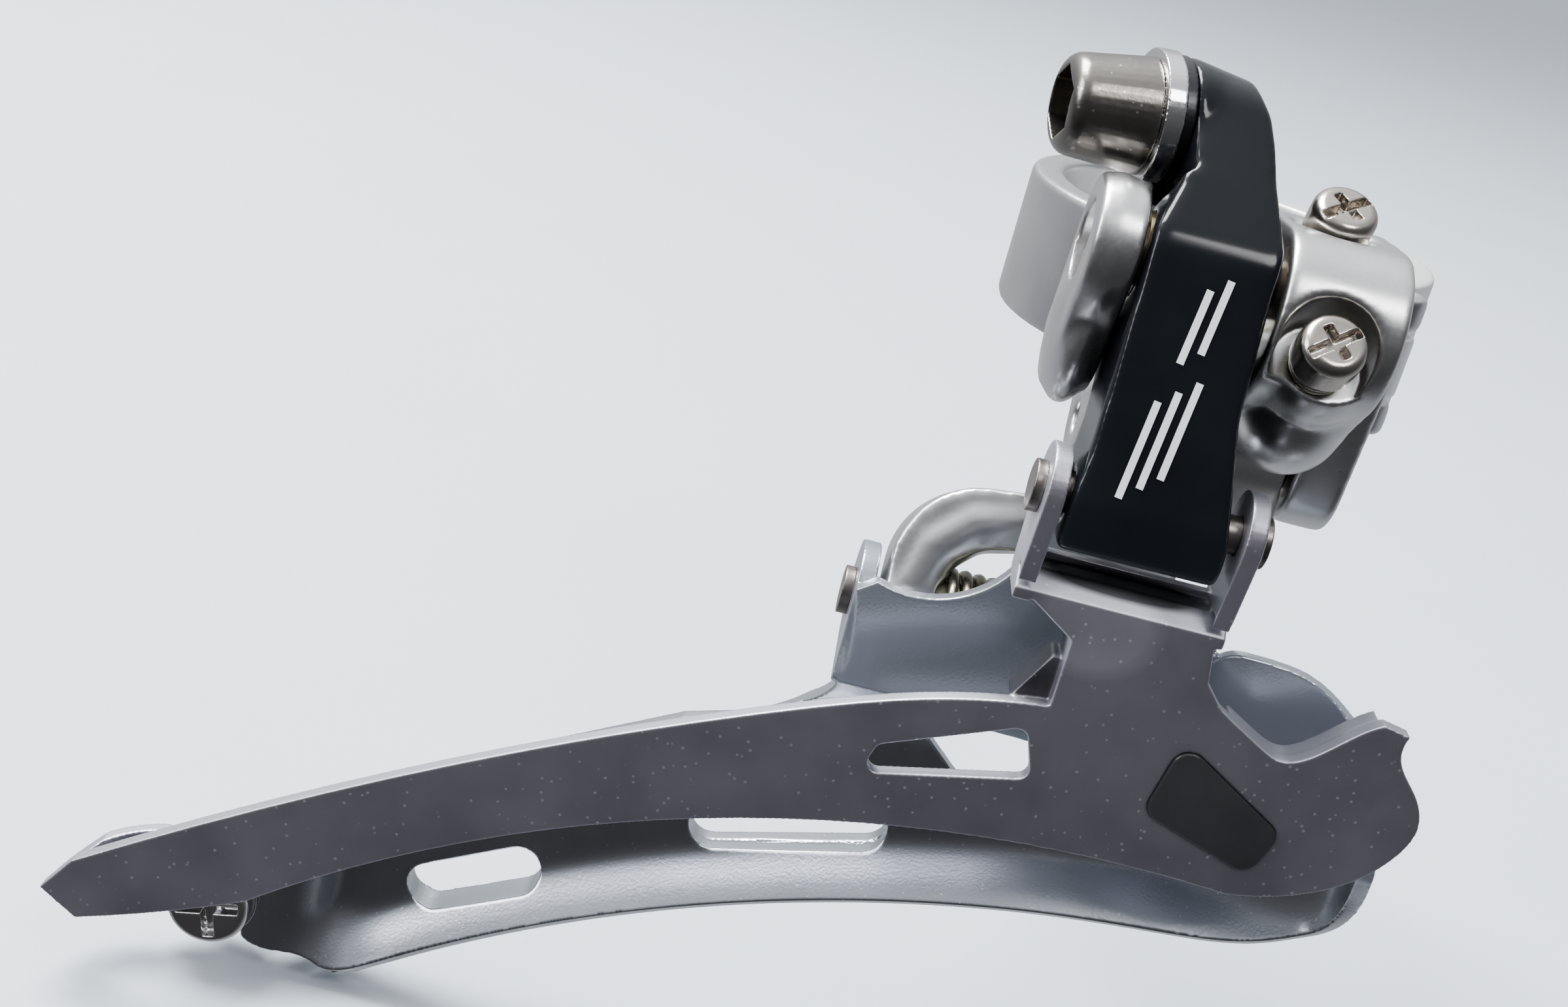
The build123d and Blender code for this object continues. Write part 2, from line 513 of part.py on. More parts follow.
with BuildPart() as cage_outer_plate:
    with BuildSketch(face_plane) as blade:
        with BuildLine():
            Polyline((-0.9, -15.0), (0.0, -20.3), (1.5, -22.0))
            Spline((1.5, -22.0), (4.4, -23.8), (7.4, -24.9), (11.1, -22.2), (13.7, -20.0))
            Line((13.7, -20.0), (15.8, -20.4))
            Spline((15.8, -20.4), (16.1, -23.0), (18.0, -25.2), (19.0, -27.6), (18.1, -30.6),
                   (13.6, -34.9), (6.7, -37.1))
            ThreePointArc((6.7, -37.1), (-30.7, -40.9), (-68.4, -59.7))
            Spline((-68.4, -59.7), (-74.5, -62.4), (-81.8, -65.1))
            Polyline((-81.8, -65.1), (-85.0, -63.0), (-82.7, -59.8))
            Spline((-82.7, -59.8), (-73.2, -53.7), (-52.8, -41.9), (-30.2, -31.0), (-18.9, -26.8),
                   (-10.9, -25.2))
            Polyline((-10.9, -25.2), (-10.9, -19.6), (-15.4, -16.6), (-15.4, -15.0), (-0.9, -15.0))
        make_face()
        with BuildLine():
            FilletPolyline((-23.4, -34.6), (-22.6, -31.9), (-12.0, -27.4), (-10.6, -31.6),
                           radius=0.9, close=True)
        make_face(mode=Mode.SUBTRACT)
    extrude(blade.sketch, amount=-SHEET)
    extrude(pad_outline(face_plane), amount=-SHEET, mode=Mode.SUBTRACT)
    # two ears; each is a side flange of the neck that carries the lower pivot
    for x_from, x_to in (EAR_REAR, EAR_FRONT):
        with BuildSketch(Plane.YZ.offset(x_from)) as ear:
            with BuildSketch(mode=Mode.PRIVATE) as ear_discs:
                with Locations(OUTER_LOWER):
                    Circle(3.6)
                with Locations((OUTER_FACE_Y + 0.8, -16.5)):
                    Circle(0.8)
                with Locations((-42.4, -16.0)):
                    Circle(1.0)
            make_hull(ear_discs.sketch.edges())
            with BuildLine():
                Polyline((OUTER_FACE_Y, -15.5), (-41.6, -15.5), (-43.0, -17.4), (OUTER_FACE_Y, -17.4),
                         close=True)
            make_face()
        extrude(ear.sketch, amount=x_to - x_from)
    # the plate's upper front edge is folded inboard
    with BuildSketch(face_plane) as nose_fold:
        with BuildLine() as fold_path:
            Spline((2.4, -23.2), (4.7, -24.5), (7.4, -25.5), (11.3, -22.9), (13.8, -20.7))
        trace(fold_path.line, line_width=1.1)
    extrude(nose_fold.sketch, amount=-3.2)
    # shelf under the link's foot with its upturned lip
    with BuildSketch(Plane.YZ.offset(EAR_REAR[1])) as shelf:
        with BuildLine():
            Polyline((OUTER_FACE_Y, -15.0), (OUTER_FACE_Y, -16.4), (-42.0, -16.4), (-42.0, -14.4),
                     (-43.2, -14.4), (-43.2, -15.0), close=True)
        make_face()
    extrude(shelf.sketch, amount=EAR_FRONT[0] - EAR_REAR[1])
    # the neck bends over into the shelf
    with BuildSketch(Plane.YZ.offset(EAR_REAR[0] - 1)) as bend:
        with BuildLine():
            Polyline((OUTER_FACE_Y - 0.1, -14.9), (OUTER_FACE_Y - 0.1, -16.6), (OUTER_FACE_Y + 1.6, -14.9),
                     close=True)
        make_face()
    extrude(bend.sketch, amount=20, mode=Mode.SUBTRACT)
    # side flange of the neck and the hooked tab below it
    with BuildSketch(Plane.YZ.offset(-10.9)) as flange:
        with BuildLine():
            Polyline((OUTER_FACE_Y, -19.2), (-42.2, -18.2), (-42.6, -24.6), (OUTER_FACE_Y, -25.6),
                     close=True)
        make_face()
    extrude(flange.sketch, amount=1.2)
    with BuildSketch(Plane.XZ.offset(45.4)) as hook:
        with BuildLine():
            Polyline((-11.6, -21.6), (-9.9, -21.6), (-9.9, -25.0), (-11.4, -26.8), (-13.9, -25.8),
                     close=True)
        make_face()
    extrude(hook.sketch, amount=-2.8)
    # tail wall that turns inboard and runs forward as a tab under the screw
    with BuildSketch(Plane.XY.offset(-72)) as wall:
        with BuildLine() as wall_path:
            Spline((-84.3, -45.7), (-82.6, -41.6), (-77.5, -39.15), tangents=[(0.1, 1), (1, 0)])
            Line((-77.5, -39.15), (-68.8, -39.15))
        trace(wall_path.line, line_width=1.3)
    with BuildPart(mode=Mode.PRIVATE) as tail_wall:
        extrude(wall.sketch, amount=20)
        with BuildSketch(Plane.XZ.offset(50)) as wall_outline:
            with BuildLine():
                FilletPolyline((-85.2, -63.2), (-82.0, -60.6), (-77.5, -59.4), (-70.0, -60.4),
                               (-68.6, -64.0), (-70.0, -67.4), (-77.0, -67.0), (-83.5, -65.0),
                               radius=0.5, close=True)
            make_face()
            with Locations(TAIL_SCREW):
                Circle(TAIL_RADIUS + RUN, mode=Mode.SUBTRACT)
        extrude(wall_outline.sketch, amount=-30, mode=Mode.INTERSECT)
    add(tail_wall.part)
    for x_from, x_to in (EAR_REAR, EAR_FRONT):
        rod(OUTER_LOWER, x_from - 1, x_to + 1, RIVET_RADIUS, Mode.SUBTRACT)
save(cage_outer_plate, "cage_outer_plate")

with BuildPart() as chain_pad:
    extrude(pad_outline(face_plane.offset(PAD_PROUD)), amount=-SHEET - 2 * PAD_PROUD)
save(chain_pad, "chain_pad")

# The inner blade is turned about its own arc: a flat band with a lower edge rolled outboard
START = -44.0
with BuildPart() as blade_band:
    turn = Plane(origin=(INNER_ARC_CENTRE[0], 0, INNER_ARC_CENTRE[1]),
                 x_dir=(sin(radians(START)), 0, cos(radians(START))),
                 z_dir=(cos(radians(START)), 0, -sin(radians(START))))
    with BuildSketch(turn) as section:
        with BuildLine():
            edge = INNER_EDGE_RADIUS
            depth = -INNER_BLADE_Y
            Polyline((edge, depth + 2.4), (edge + 1.1, depth + 3.2), (edge + 4.8, depth),
                     (edge + 24, depth), (edge + 24, depth - SHEET), (edge + 4.2, depth - SHEET),
                     close=True)
        make_face()
    revolve(section.sketch, axis=Axis((INNER_ARC_CENTRE[0], 0, INNER_ARC_CENTRE[1]), (0, 1, 0)),
            revolution_arc=60)

with BuildPart() as blade_trim:
    with BuildSketch(Plane.XZ.offset(50)):
        with BuildLine():
            Polyline((-58.6, -90), (-58.6, -69.9), (-61.2, -70.7), (-63.4, -69.6), (-66.4, -60.0),
                     (-52, -47.5), (-37.5, -39.6), (-31.0, -37.6), (-12, -35.2), (9.0, -35.2),
                     (9.0, -80), close=True)
        make_face()
        # long slot near the tail and the slot under the outer plate's edge
        for slot_at, span, tilt in SLOTS:
            with Locations(slot_at):
                SlotCenterToCenter(span, SLOT_WIDTH, rotation=tilt, mode=Mode.SUBTRACT)
    extrude(amount=-30)

with BuildPart() as bracket_fold:
    with BuildSketch(Plane.YZ.offset(-40)) as fold_section:
        with BuildLine():
            Polyline((BRACKET_Y, -12), (BRACKET_Y, -31.5), (INNER_BLADE_Y, -35.6), (INNER_BLADE_Y, -40),
                     (INNER_BLADE_Y + SHEET, -40), (INNER_BLADE_Y + SHEET, -35.0),
                     (BRACKET_Y + SHEET, -30.9), (BRACKET_Y + SHEET, -12), close=True)
        make_face()
    extrude(fold_section.sketch, amount=50)

with BuildPart() as bracket_trim:
    with BuildSketch(Plane.XZ.offset(50)):
        with BuildLine():
            Polyline((-26.8, -23.4), (-25.3, -22.3))
            ThreePointArc((-25.3, -22.3), (-19.0, -22.0), (-14.6, -17.0))
            Polyline((-14.6, -17.0), (0.6, -17.0), (2.2, -21.4), (9.0, -22.6), (9.0, -40.0),
                     (-36.0, -40.0))
            Spline((-36.0, -40.0), (-31.0, -37.3), (-26.9, -33.6), (-26.0, -28.0), (-26.8, -23.4))
        make_face()
    extrude(amount=-30)

# The nose wall leaves the blade and curves round to lie behind the outer plate
with BuildPart() as nose_wall:
    with BuildSketch(Plane.XY.offset(-52)):
        with BuildLine() as path:
            Spline((7.0, -34.3), (12.2, -35.2), (16.2, -37.9), (17.2, -41.0), (16.6, -44.4))
        trace(path.line, line_width=SHEET)
    extrude(amount=36)

with BuildPart() as nose_trim:
    with BuildSketch(Plane.XZ.offset(50)):
        with BuildLine():
            Polyline((6.5, -22.4), (12.5, -21.8), (22, -22.6), (22, -36.0), (20.6, -40.6),
                     (18.4, -43.0), (15.4, -45.2), (9.0, -47.2), (6.5, -47.4), close=True)
        make_face()
    extrude(amount=-30)
    # its lower edge rises as it comes outboard
    with BuildSketch(Plane.YZ.offset(5)) as rising:
        with BuildLine():
            Polyline((-37.0, -45.6), (-46.0, -36.0), (-46.0, -60), (-37.0, -60), close=True)
        make_face()
    extrude(rising.sketch, amount=25, mode=Mode.SUBTRACT)

# The tail steps outboard to a tongue that the tail screw holds
with BuildPart() as tail_step:
    with BuildSketch(Plane.XY.offset(-78)):
        with BuildLine() as step_path:
            Polyline((-63.5, INNER_BLADE_Y + SHEET / 2), (-65.4, INNER_BLADE_Y + SHEET / 2),
                     (-68.2, -37.85), (-77.0, -37.85))
        trace(step_path.line, line_width=1.3)
    extrude(amount=24)

with BuildPart() as tail_trim:
    with BuildSketch(Plane.XZ.offset(50)):
        with BuildLine():
            FilletPolyline((-63.0, -59.5), (-63.0, -69.9), (-64.8, -67.9), (-69.0, -67.8), (-76.8, -67.6),
                           (-77.0, -61.0), (-70.0, -59.8), radius=0.8, close=True)
        make_face()
        with Locations(TAIL_SCREW):
            Circle(TAIL_RADIUS + RUN, mode=Mode.SUBTRACT)
    extrude(amount=-30)

with BuildPart() as cage_inner_plate:
    add(blade_band.part & blade_trim.part)
    add(bracket_fold.part & bracket_trim.part)
    add(nose_wall.part & nose_trim.part)
    add(tail_step.part & tail_trim.part)
    # window at the fold between the blade and the bracket
    with BuildSketch(Plane.XZ.offset(50)) as fold_window:
        with BuildLine():
            FilletPolyline((-18.4, -35.0), (-14.2, -38.8), (-8.6, -38.4), (-8.4, -33.2),
                           (-16.4, -33.0), radius=0.8, close=True)
        make_face()
    extrude(fold_window.sketch, amount=-30, mode=Mode.SUBTRACT)
    for x_from, x_to in (INNER_EAR_REAR, INNER_EAR_FRONT):
        with BuildSketch(Plane.YZ.offset(x_from)) as inner_ear:
            with BuildSketch(mode=Mode.PRIVATE) as inner_ear_discs:
                with Locations(INNER_LOWER):
                    Circle(4.4)
                with Locations((BRACKET_Y + 0.9, -31.0)):
                    Circle(0.9)
            make_hull(inner_ear_discs.sketch.edges())
        extrude(inner_ear.sketch, amount=x_to - x_from)
        rod(INNER_LOWER, x_from - 1, x_to + 1, RIVET_RADIUS, Mode.SUBTRACT)
save(cage_inner_plate, "cage_inner_plate")

with BuildPart() as outer_lower_pin:
    rod(OUTER_LOWER, EAR_REAR[0], EAR_FRONT[1], RIVET_RADIUS)
    rod(OUTER_LOWER, EAR_REAR[0] - RIVET_HEAD_HEIGHT, EAR_REAR[0], RIVET_HEAD_RADIUS)
    rod(OUTER_LOWER, EAR_FRONT[1], EAR_FRONT[1] + RIVET_HEAD_HEIGHT, RIVET_HEAD_RADIUS)
save(outer_lower_pin, "outer_lower_pin")

with BuildPart() as inner_lower_pin:
    rod(INNER_LOWER, INNER_EAR_REAR[0], INNER_EAR_FRONT[1], RIVET_RADIUS)
    rod(INNER_LOWER, INNER_EAR_REAR[0] - RIVET_HEAD_HEIGHT, INNER_EAR_REAR[0], RIVET_HEAD_RADIUS)
    rod(INNER_LOWER, INNER_EAR_FRONT[1], INNER_EAR_FRONT[1] + RIVET_HEAD_HEIGHT, RIVET_HEAD_RADIUS)
save(inner_lower_pin, "inner_lower_pin")

with BuildPart() as tail_screw:
    with BuildSketch(Plane.XZ.offset(TAIL_HEAD_FACE)):
        with Locations(TAIL_SCREW):
            Circle(TAIL_HEAD_RADIUS)
    extrude(amount=TAIL_HEAD_HEIGHT)
    fillet(edges().group_by(Axis.Y)[0], 0.7)
    with BuildSketch(Plane.XZ.offset(TAIL_HEAD_FACE + TAIL_HEAD_HEIGHT)):
        with Locations(TAIL_SCREW):
            Rectangle(1.0, 5.4, rotation=12)
            Rectangle(5.4, 1.0, rotation=12)
    extrude(amount=-1.2, mode=Mode.SUBTRACT)
    with BuildSketch(Plane.XZ.offset(TAIL_HEAD_FACE)):
        with Locations(TAIL_SCREW):
            Circle(TAIL_RADIUS)
    extrude(amount=-6.6)
save(tail_screw, "tail_screw")

with BuildPart() as tail_washer:
    with BuildSketch(Plane.XZ.offset(39.8)):
        with Locations(TAIL_SCREW):
            Circle(TAIL_WASHER_RADIUS)
            Circle(TAIL_RADIUS + RUN, mode=Mode.SUBTRACT)
    extrude(amount=0.8)
save(tail_washer, "tail_washer")

with BuildPart() as tail_nut:
    with BuildSketch(Plane.XZ.offset(37.2)):
        with Locations(TAIL_SCREW):
            RegularPolygon(3.2, 6, major_radius=False)
            Circle(TAIL_RADIUS + RUN, mode=Mode.SUBTRACT)
    extrude(amount=-2.8)
save(tail_nut, "tail_nut")
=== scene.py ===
from math import cos, pi, radians, sin

import bmesh
import bpy
from mathutils import Matrix, Vector


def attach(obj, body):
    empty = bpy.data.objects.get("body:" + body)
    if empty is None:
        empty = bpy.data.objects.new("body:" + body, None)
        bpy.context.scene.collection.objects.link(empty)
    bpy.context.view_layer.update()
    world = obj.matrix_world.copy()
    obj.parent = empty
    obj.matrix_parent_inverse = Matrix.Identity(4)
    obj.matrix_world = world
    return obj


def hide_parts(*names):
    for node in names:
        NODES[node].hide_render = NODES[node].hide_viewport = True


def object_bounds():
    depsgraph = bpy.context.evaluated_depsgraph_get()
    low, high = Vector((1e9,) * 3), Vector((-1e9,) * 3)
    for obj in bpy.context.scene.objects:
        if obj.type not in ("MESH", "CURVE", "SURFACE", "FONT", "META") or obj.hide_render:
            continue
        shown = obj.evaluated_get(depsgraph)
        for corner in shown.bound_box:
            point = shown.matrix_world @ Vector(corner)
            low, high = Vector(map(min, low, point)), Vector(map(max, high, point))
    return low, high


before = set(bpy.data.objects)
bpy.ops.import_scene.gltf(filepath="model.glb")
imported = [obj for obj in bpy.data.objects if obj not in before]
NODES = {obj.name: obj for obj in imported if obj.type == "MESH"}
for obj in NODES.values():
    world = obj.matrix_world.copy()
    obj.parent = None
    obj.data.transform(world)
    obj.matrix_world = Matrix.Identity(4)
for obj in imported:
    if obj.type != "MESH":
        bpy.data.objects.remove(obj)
cad_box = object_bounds()
MM = 0.001


# ------------------------------------------------------------------ shader helpers
def add_node(tree, kind, **values):
    node = tree.nodes.new(kind)
    for key, value in values.items():
        setattr(node, key, value)
    return node


def map_range(tree, source, to_low, to_high, from_low=0.0, from_high=1.0):
    node = add_node(tree, "ShaderNodeMapRange")
    node.inputs["From Min"].default_value = from_low
    node.inputs["From Max"].default_value = from_high
    node.inputs["To Min"].default_value = to_low
    node.inputs["To Max"].default_value = to_high
    tree.links.new(source, node.inputs["Value"])
    return node.outputs[0]


def ramp(tree, source, stops):
    """Colours by place, from stops of (place, colour)."""
    node = add_node(tree, "ShaderNodeValToRGB")
    scale = node.color_ramp
    for element, (place, colour) in zip((scale.elements[0], scale.elements[1]), (stops[0], stops[-1])):
        element.position = place
        element.color = (*colour, 1)
    for place, colour in stops[1:-1]:
        scale.elements.new(place).color = (*colour, 1)
    tree.links.new(source, node.inputs[0])
    return node.outputs[0]


def blend(tree, share, colour, tint, way="MIX"):
    """Takes a colour towards a fixed tint by a share between 0 and 1."""
    mix = add_node(tree, "ShaderNodeMix", data_type="RGBA", blend_type=way, clamp_result=False)
    tree.links.new(share, mix.inputs[0])
    tree.links.new(colour, mix.inputs[6])
    mix.inputs[7].default_value = (*tint, 1)
    return mix.outputs[2]


def axis_part(tree, output, axis):
    """One axis of a texture coordinate."""
    coord = add_node(tree, "ShaderNodeTexCoord")
    parts = add_node(tree, "ShaderNodeSeparateXYZ")
    tree.links.new(coord.outputs[output], parts.inputs[0])
    return parts.outputs[axis]


def millimetres(tree, scale=(1, 1, 1), shift=(0, 0, 0)):
    """Object coordinates in millimetres, scaled and then shifted."""
    coord = add_node(tree, "ShaderNodeTexCoord")
    mapping = add_node(tree, "ShaderNodeMapping")
    mapping.inputs["Scale"].default_value = [1000 * s for s in scale]
    mapping.inputs["Location"].default_value = shift
    tree.links.new(coord.outputs["Object"], mapping.inputs["Vector"])
    return mapping.outputs[0]


def noise_tex(tree, vector, scale, detail, rough=0.5):
    node = add_node(tree, "ShaderNodeTexNoise")
    node.inputs["Scale"].default_value = scale
    node.inputs["Detail"].default_value = detail
    node.inputs["Roughness"].default_value = rough
    tree.links.new(vector, node.inputs["Vector"])
    return node.outputs["Fac"]


# ------------------------------------------------------------------ materials
BLACK, WHITE = (0, 0, 0), (1, 1, 1)
CLOUD_SCALE = 0.12        # slow change of colour, cycles per millimetre
FLECK_SCALE = 1.1         # one fleck in each cell of about a millimetre
BUMP_DEPTH = 0.0001       # metres
EDGE_HIGHLIGHT_NORMALS = (-0.92, -0.55)    # Y of the normal at which the painted edge highlight starts and at which it is complete
# how far the painted edge highlight takes the colour towards its tint
EDGE_HIGHLIGHT_SHARE = 0.85


def new_material(name):
    mat = bpy.data.materials.new(name)
    mat.use_nodes = True
    tree = mat.node_tree
    tree.nodes.clear()
    out = add_node(tree, "ShaderNodeOutputMaterial")
    shader = add_node(tree, "ShaderNodeBsdfPrincipled")
    tree.links.new(shader.outputs[0], out.inputs[0])
    return mat, shader


def flecked(tree, colour, reach, tint):
    """Small round dots; reach is their radius within a cell."""
    dots = add_node(tree, "ShaderNodeTexVoronoi")
    dots.inputs["Scale"].default_value = FLECK_SCALE
    tree.links.new(millimetres(tree), dots.inputs["Vector"])
    mask = ramp(tree, dots.outputs["Distance"], [(reach * 0.5, WHITE), (reach, BLACK)])
    return blend(tree, mask, colour, tint)


def zoned(tree, colour, centre, radii, factor):
    """Darkens or lightens an ellipsoid, in millimetres."""
    place = millimetres(tree, [1 / r for r in radii], [-c / r for c, r in zip(centre, radii)])
    far = add_node(tree, "ShaderNodeVectorMath", operation="LENGTH")
    tree.links.new(place, far.inputs[0])
    share = ramp(tree, far.outputs["Value"], [(0.7, WHITE), (1.0, BLACK)])
    return blend(tree, share, colour, (factor,) * 3, "MULTIPLY")


def metal(name, dark, light, rough, grain=0.35, bump=0.02, metallic=1.0, coat=0.0, spread=0.06,
          stretch=(1, 1, 1), fleck=None, specular=None, zones=(), paler=None, edge_highlight=None):
    """Metal whose colour and roughness wander slightly, with a fine grain and optional bright flecks.

    Each zone is (centre, radii, factor). Above the heights in paler (from, to, colour, metallic)
    the piece is a paler, duller metal. On a sheet that faces -Y, the faces turned away from -Y (its cut
    edges, folded ears and slot walls) get a painted highlight in the colour given for the edge highlight.
    """
    mat, shader = new_material(name)
    tree = mat.node_tree
    if specular is not None:
        shader.inputs["Specular IOR Level"].default_value = specular
    shader.inputs["Metallic"].default_value = metallic
    shader.inputs["Coat Weight"].default_value = coat
    shader.inputs["Coat Roughness"].default_value = 0.08
    broad = noise_tex(tree, millimetres(tree), CLOUD_SCALE, 2.0)
    fine = noise_tex(tree, millimetres(tree, stretch), 1.0 / grain, 3.0, 0.6)
    colour = ramp(tree, broad, [(0.3, dark), (0.7, light)])
    if fleck:
        colour = flecked(tree, colour, *fleck)
    if paler:
        low, high, tint, upper_metallic = paler
        share = map_range(tree, axis_part(tree, "Object", "Z"), 0, 1, low * MM, high * MM)
        colour = blend(tree, share, colour, tint)
        tree.links.new(map_range(tree, share, metallic, upper_metallic), shader.inputs["Metallic"])
    # painted highlight: faces turned away from -Y, such as cut edges, folded ears and slot walls, are made
    # paler
    if edge_highlight:
        share = map_range(tree, axis_part(tree, "Normal", "Y"), 0, EDGE_HIGHLIGHT_SHARE, *EDGE_HIGHLIGHT_NORMALS)
        colour = blend(tree, share, colour, edge_highlight)
    for zone in zones:
        colour = zoned(tree, colour, *zone)
    tree.links.new(colour, shader.inputs["Base Color"])
    tree.links.new(map_range(tree, fine, rough - spread, rough + spread), shader.inputs["Roughness"])
    bumper = add_node(tree, "ShaderNodeBump")
    bumper.inputs["Strength"].default_value = bump
    bumper.inputs["Distance"].default_value = BUMP_DEPTH
    tree.links.new(fine, bumper.inputs["Height"])
    tree.links.new(bumper.outputs[0], shader.inputs["Normal"])
    return mat


HOOK_SHADE = ((-12.4, -42.4, -24.0), (6.0, 4.1, 6.0), 0.2)
SHELF_SHADE = ((-8.0, -44.3, -15.2), (8.5, 2.4, 1.0), 0.15)
NECK_GLEAM = ((-9.5, -46.6, -18.0), (5.5, 2.5, 4.6), 1.5)
NOSE_GLEAM = ((9.0, -38.0, -25.0), (9.5, 5.0, 8.5), 1.7)
M = {
    "body": metal("body_satin", (0.62, 0.62, 0.62), (0.74, 0.74, 0.74), 0.30),
    "clamp": metal("clamp_satin", (0.80, 0.80, 0.80), (0.87, 0.87, 0.86), 0.45, metallic=0.8),
    "arm": metal("arm_gloss_black", (0.003, 0.0035, 0.005), (0.005, 0.006, 0.008), 0.15, bump=0.0,
                 metallic=0.0, specular=0.3, spread=0.02),
    # the outer plate has a painted highlight on its edges and ears
    "outer": metal("outer_plate_satin", (0.21, 0.195, 0.225), (0.29, 0.272, 0.31), 0.40, grain=0.25,
                   bump=0.06, metallic=0.85, edge_highlight=(0.50, 0.51, 0.57), fleck=(0.17, (0.46, 0.45, 0.49)),
                   zones=[HOOK_SHADE, SHELF_SHADE, NECK_GLEAM]),
    "inner": metal("inner_plate_zinc", (0.52, 0.54, 0.58), (0.64, 0.66, 0.71), 0.23, grain=0.25,
                   bump=0.12, fleck=(0.13, (0.80, 0.82, 0.86)), paler=(-37, -31, (0.35, 0.375, 0.42), 0.75),
                   zones=[NOSE_GLEAM]),
    "pad": metal("pad_plastic", (0.012, 0.012, 0.013), (0.02, 0.02, 0.021), 0.3, metallic=0.0,
                 coat=0.2, bump=0.03),
    "bolt": metal("bolt_gunmetal", (0.17, 0.155, 0.14), (0.27, 0.25, 0.23), 0.24, grain=0.5, bump=0.10,
                  fleck=(0.14, (0.6, 0.58, 0.55))),
    "washer": metal("washer_bright", (0.70, 0.70, 0.70), (0.80, 0.80, 0.80), 0.14),
    "cable": metal("cable_plate_dark", (0.03, 0.03, 0.035), (0.06, 0.06, 0.065), 0.32),
    "nickel": metal("screw_nickel", (0.42, 0.385, 0.345), (0.54, 0.50, 0.455), 0.22),
    "rivet": metal("rivet_dark", (0.16, 0.135, 0.12), (0.27, 0.24, 0.22), 0.34),
    "bronze": metal("bush_bronze", (0.45, 0.34, 0.18), (0.55, 0.43, 0.25), 0.3),
    "spring": metal("spring_oiled", (0.30, 0.28, 0.22), (0.42, 0.40, 0.32), 0.28, stretch=(4, 1, 1)),
    "sleeve": metal("sleeve_ivory", (0.60, 0.55, 0.42), (0.70, 0.66, 0.52), 0.5, metallic=0.0),
    "ink": metal("mark_white", (0.70, 0.71, 0.72), (0.78, 0.79, 0.80), 0.4, metallic=0.0, bump=0.0),
    "chrome": metal("tail_chrome", (0.66, 0.65, 0.64), (0.78, 0.77, 0.76), 0.12),
}

DRESS = {
    "body": "body", "clamp_hinge_pin": "rivet", "outer_upper_pin": "rivet", "inner_upper_pin": "rivet",
    "limit_screw_low": "nickel", "limit_screw_high": "nickel", "limit_screw_springs": "spring",
    "clamp_band": "clamp", "clamp_bolt": "bolt", "clamp_washer": "washer", "outer_link": "arm",
    "outer_link_bushes": "bronze", "cable_plate": "cable", "anchor_washer": "washer",
    "anchor_bolt": "bolt", "inner_link": "body", "inner_link_bushes": "bronze",
    "spring_sleeve": "sleeve", "return_spring": "spring", "cage_outer_plate": "outer",
    "chain_pad": "pad", "cage_inner_plate": "inner", "outer_lower_pin": "rivet",
    "inner_lower_pin": "rivet", "tail_screw": "chrome", "tail_washer": "washer", "tail_nut": "nickel",
}


def dress(obj, key):
    obj.data.materials.clear()
    obj.data.materials.append(M[key])


for name, key in DRESS.items():
    dress(NODES[name], key)


# ------------------------------------------------------------------ shape helpers
BAR_SIDES = 32
ARC_POINTS = 13           # points round each half-circle end of a slot
COIL_SIDES = 10
COIL_STEPS = 28           # steps in one turn of a coil


def soften(obj, voxel, rounds, keep=1.0):
    """Rounds every edge of a piece as forging or tumbling would."""
    step = obj.modifiers.new("skin", "REMESH")
    step.mode = "VOXEL"
    step.voxel_size = voxel * MM * 1
    step.use_smooth_shade = True
    step = obj.modifiers.new("rounding", "SMOOTH")
    step.factor = 0.5
    step.iterations = max(1, rounds // (1))
    if keep < 1:
        step = obj.modifiers.new("lighter", "DECIMATE")
        step.ratio = keep


def bake(obj):
    """Turns an object's modifiers into its own mesh."""
    graph = bpy.context.evaluated_depsgraph_get()
    mesh = bpy.data.meshes.new_from_object(obj.evaluated_get(graph))
    obj.modifiers.clear()
    obj.data = mesh
    return obj


def mesh_object(name, mesh):
    obj = bpy.data.objects.new(name, mesh)
    bpy.context.scene.collection.objects.link(obj)
    return obj


def from_bmesh(name, bm):
    mesh = bpy.data.meshes.new(name)
    bm.to_mesh(mesh)
    bm.free()
    return mesh_object(name, mesh)


def from_points(name, verts, faces):
    """Mesh object from millimetre points."""
    mesh = bpy.data.meshes.new(name)
    mesh.from_pydata([Vector(v) * MM for v in verts], [], faces)
    return mesh_object(name, mesh)


def copy_of(node, name):
    obj = NODES[node].copy()
    obj.data = NODES[node].data.copy()
    obj.modifiers.clear()
    obj.parent = None
    obj.matrix_world = Matrix.Identity(4)
    obj.name = name
    bpy.context.scene.collection.objects.link(obj)
    return obj


def sheet_loft(name, stations, thickness):
    """Bent sheet through stations, each a list of points on its outboard face."""
    rows = len(stations[0])
    verts = [point for station in stations for point in station]
    faces = [(i * rows + j, i * rows + j + 1, (i + 1) * rows + j + 1, (i + 1) * rows + j)
             for i in range(len(stations) - 1) for j in range(rows - 1)]
    obj = from_points(name, verts, faces)
    smooth = obj.modifiers.new("smooth", "SUBSURF")
    smooth.levels = 3
    thick = obj.modifiers.new("thick", "SOLIDIFY")
    thick.thickness = thickness * MM
    thick.offset = -1.0
    thick.use_even_offset = True
    return bake(obj)


def cut_off(obj, at, normal):
    """Removes what lies beyond a plane and closes the cut."""
    bm = bmesh.new()
    bm.from_mesh(obj.data)
    bmesh.ops.remove_doubles(bm, verts=bm.verts, dist=1e-7)
    cut = bmesh.ops.bisect_plane(bm, geom=bm.verts[:] + bm.edges[:] + bm.faces[:], dist=1e-8,
                                 plane_co=Vector(at) * MM, plane_no=Vector(normal), clear_outer=True)
    rim = [item for item in cut["geom_cut"] if isinstance(item, bmesh.types.BMEdge)]
    bmesh.ops.holes_fill(bm, edges=rim, sides=0)
    bm.to_mesh(obj.data)
    bm.free()


